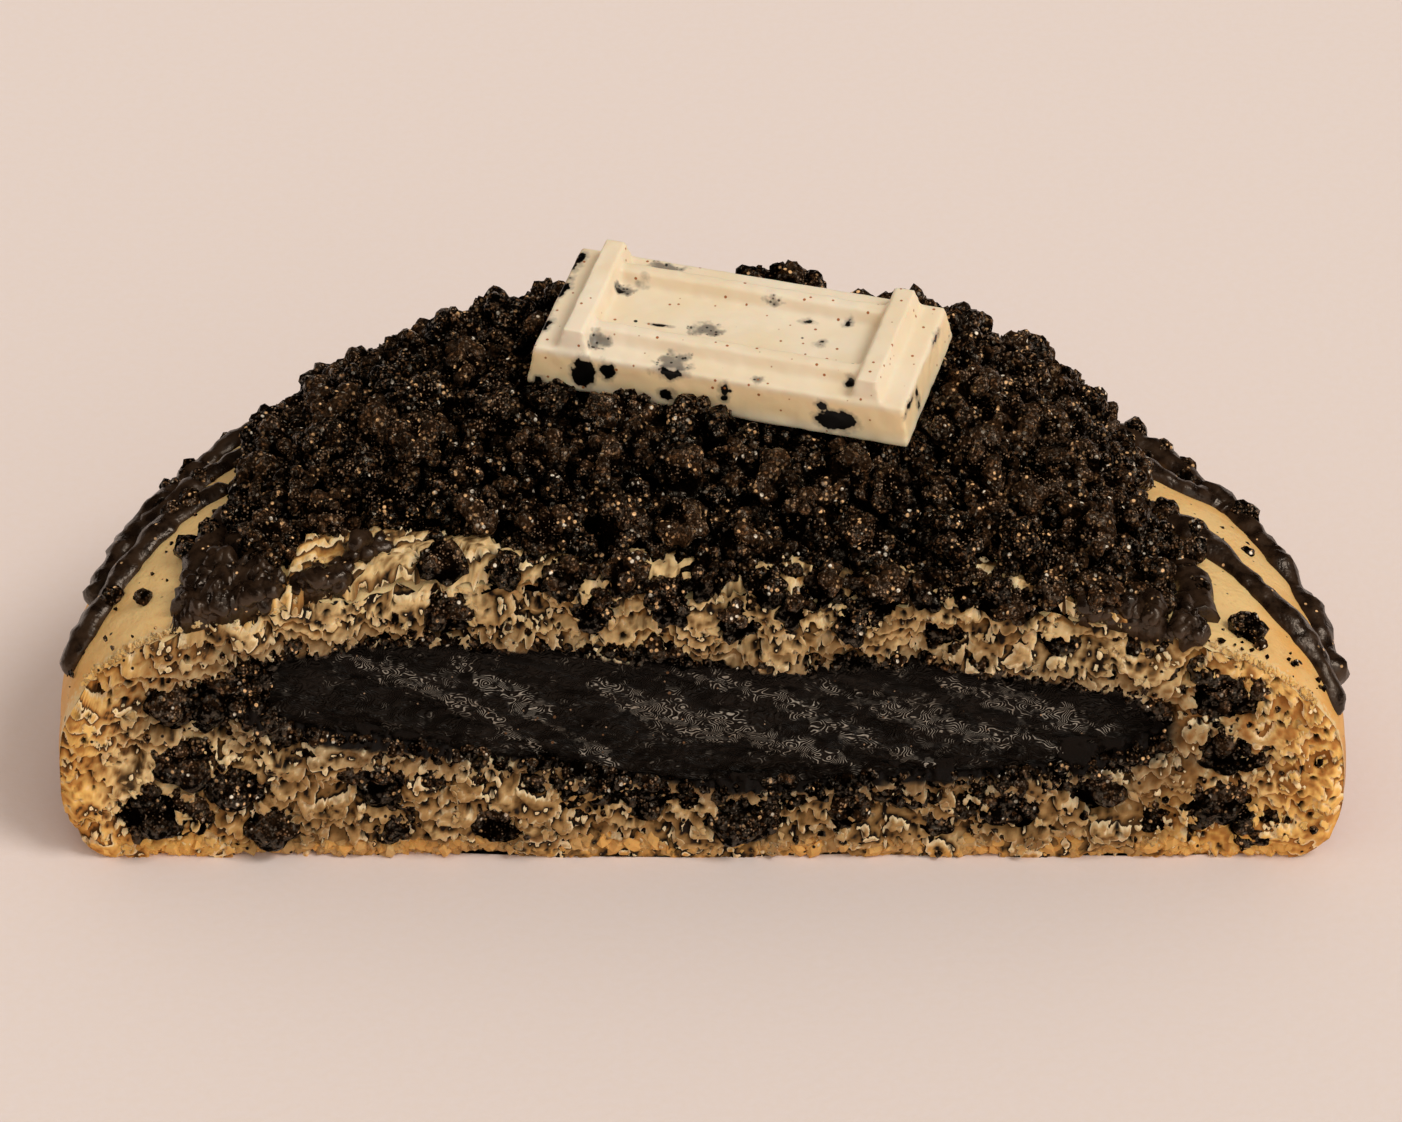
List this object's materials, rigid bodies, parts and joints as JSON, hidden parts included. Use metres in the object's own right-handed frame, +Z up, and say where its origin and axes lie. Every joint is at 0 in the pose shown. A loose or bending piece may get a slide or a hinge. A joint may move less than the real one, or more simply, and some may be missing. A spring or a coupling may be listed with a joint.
{
  "type": "half of a stuffed cookie, cut open",
  "caption": "Thick round stuffed cookie cut upright through its chocolate filling, topped with a heap of dark cookie crumbs and a white chocolate piece.",
  "frame": {"origin": "middle of the flat base, on the surface that the cookie stands on", "axes": "+X along the cut, +Y away from the cut face, +Z up"},
  "size_m": [0.1114, 0.0623, 0.0429],
  "materials": {
    "dough": "matte",
    "filling": "satin",
    "crumbs": "rough",
    "white_chocolate": "satin"
  },
  "bodies": {
    "root": {"cookie_dough": "dough", "chocolate_filling": "filling", "crumb_topping": "crumbs", "white_tile": "white_chocolate", "cookie_chunk_01": "crumbs", "cookie_chunk_02": "crumbs", "cookie_chunk_03": "crumbs", "cookie_chunk_04": "crumbs", "cookie_chunk_05": "crumbs", "cookie_chunk_06": "crumbs", "cookie_chunk_07": "crumbs", "cookie_chunk_08": "crumbs", "cookie_chunk_09": "crumbs", "cookie_chunk_10": "crumbs", "cookie_chunk_11": "crumbs", "cookie_chunk_12": "crumbs", "cookie_chunk_13": "crumbs", "cookie_chunk_14": "crumbs", "cookie_chunk_15": "crumbs"}
  },
  "joints": []
}
